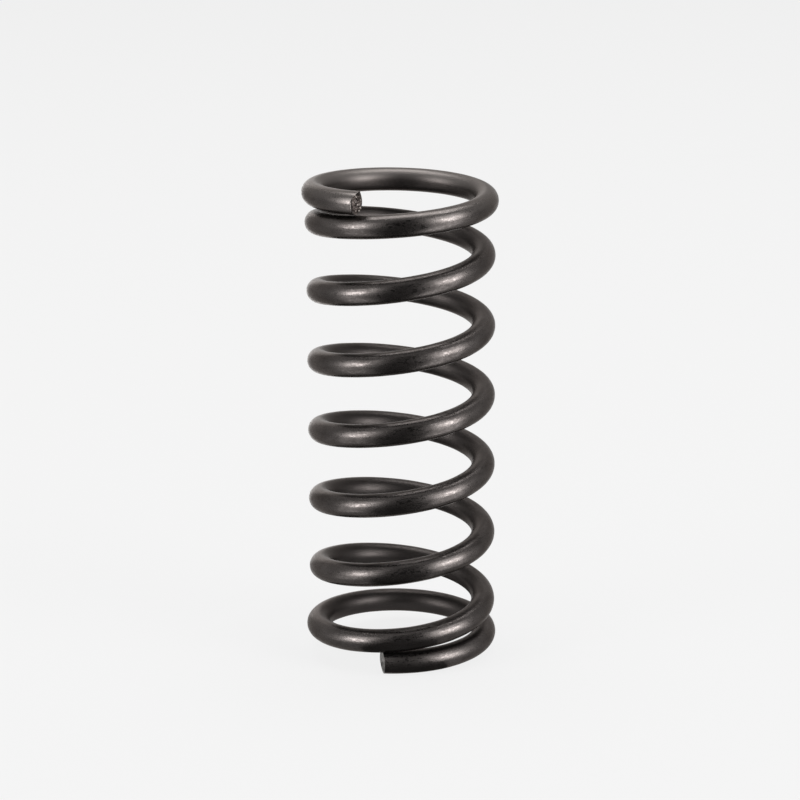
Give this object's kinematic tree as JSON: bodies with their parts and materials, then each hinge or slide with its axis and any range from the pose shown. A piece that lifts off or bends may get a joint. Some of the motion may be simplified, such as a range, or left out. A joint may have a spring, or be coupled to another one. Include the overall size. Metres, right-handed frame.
{
  "type": "compression spring",
  "caption": "Right-hand helical compression spring of round steel wire, with closed unground ends, which pushes back when it is squeezed along its axis.",
  "frame": {"origin": "on the coil axis, in the plane that the lower end stands on", "axes": "+Z along the coil axis from the lower end to the upper end; -Y is the side that both cut tips face"},
  "size_m": [0.01, 0.0099, 0.025],
  "materials": {
    "spring_wire": "dark oxide-coated spring steel, satin, with fine drawing marks along the wire"
  },
  "bodies": {
    "root": {"coil_spring": "spring_wire"}
  },
  "joints": []
}
